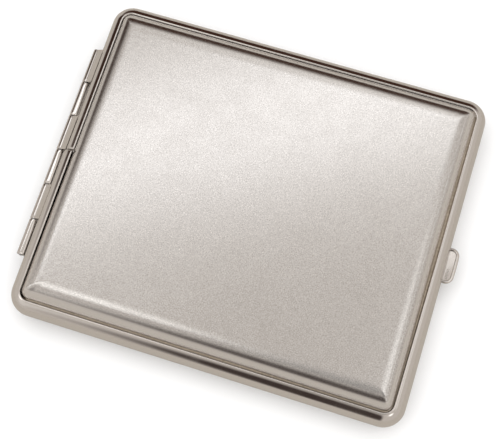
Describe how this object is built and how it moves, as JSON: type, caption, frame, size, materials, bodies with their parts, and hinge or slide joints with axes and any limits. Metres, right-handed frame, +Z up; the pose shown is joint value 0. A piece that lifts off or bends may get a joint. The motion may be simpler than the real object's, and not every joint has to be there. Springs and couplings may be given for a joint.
{
  "type": "cigarette case",
  "caption": "Flat hinged pocket case of pressed satin panels in polished beaded frames, with a sprung thumb catch and an elastic band inside.",
  "frame": {"origin": "middle of the base panel's flat face, which the shut case lies on", "axes": "+Z up out of the shut lid, +X from the hinge to the thumb catch, Y along the hinge"},
  "size_m": [0.0996, 0.081, 0.013],
  "materials": {
    "satin_nickel": "fine satin nickel plate",
    "polished_nickel": "polished nickel plate",
    "spring_steel": "drawn steel wire",
    "woven_elastic": "woven elastic ribbon"
  },
  "bodies": {
    "base": {"base_frame": "polished_nickel", "base_frame_splice": "polished_nickel", "base_panel": "satin_nickel", "base_knuckle_1": "polished_nickel", "base_knuckle_2": "polished_nickel", "base_knuckle_3": "polished_nickel", "hinge_pin": "spring_steel", "elastic_band": "woven_elastic", "band_clip_1": "polished_nickel", "band_clip_2": "polished_nickel", "catch_bracket": "polished_nickel", "catch_pin": "spring_steel", "catch_spring": "spring_steel"},
    "lid": {"lid_frame": "polished_nickel", "lid_frame_splice": "polished_nickel", "lid_panel": "satin_nickel", "lid_knuckle_1": "polished_nickel", "lid_knuckle_2": "polished_nickel", "lid_knuckle_3": "polished_nickel", "catch_strike": "polished_nickel"},
    "catch": {"thumb_catch": "polished_nickel"}
  },
  "joints": [
    {"name": "lid_hinge", "type": "hinge", "parent": "base", "child": "lid", "pos_m": [-0.04875, 0, 0.0065], "axis": [0, -1, 0], "range_deg": [0, 180]},
    {"name": "catch_press", "type": "hinge", "parent": "base", "child": "catch", "pos_m": [0.0455, 0, 0.0046], "axis": [0, 1, 0], "range_deg": [0, 7], "stiffness_Nm_per_rad": 0.06, "springref_deg": -5.73}
  ]
}
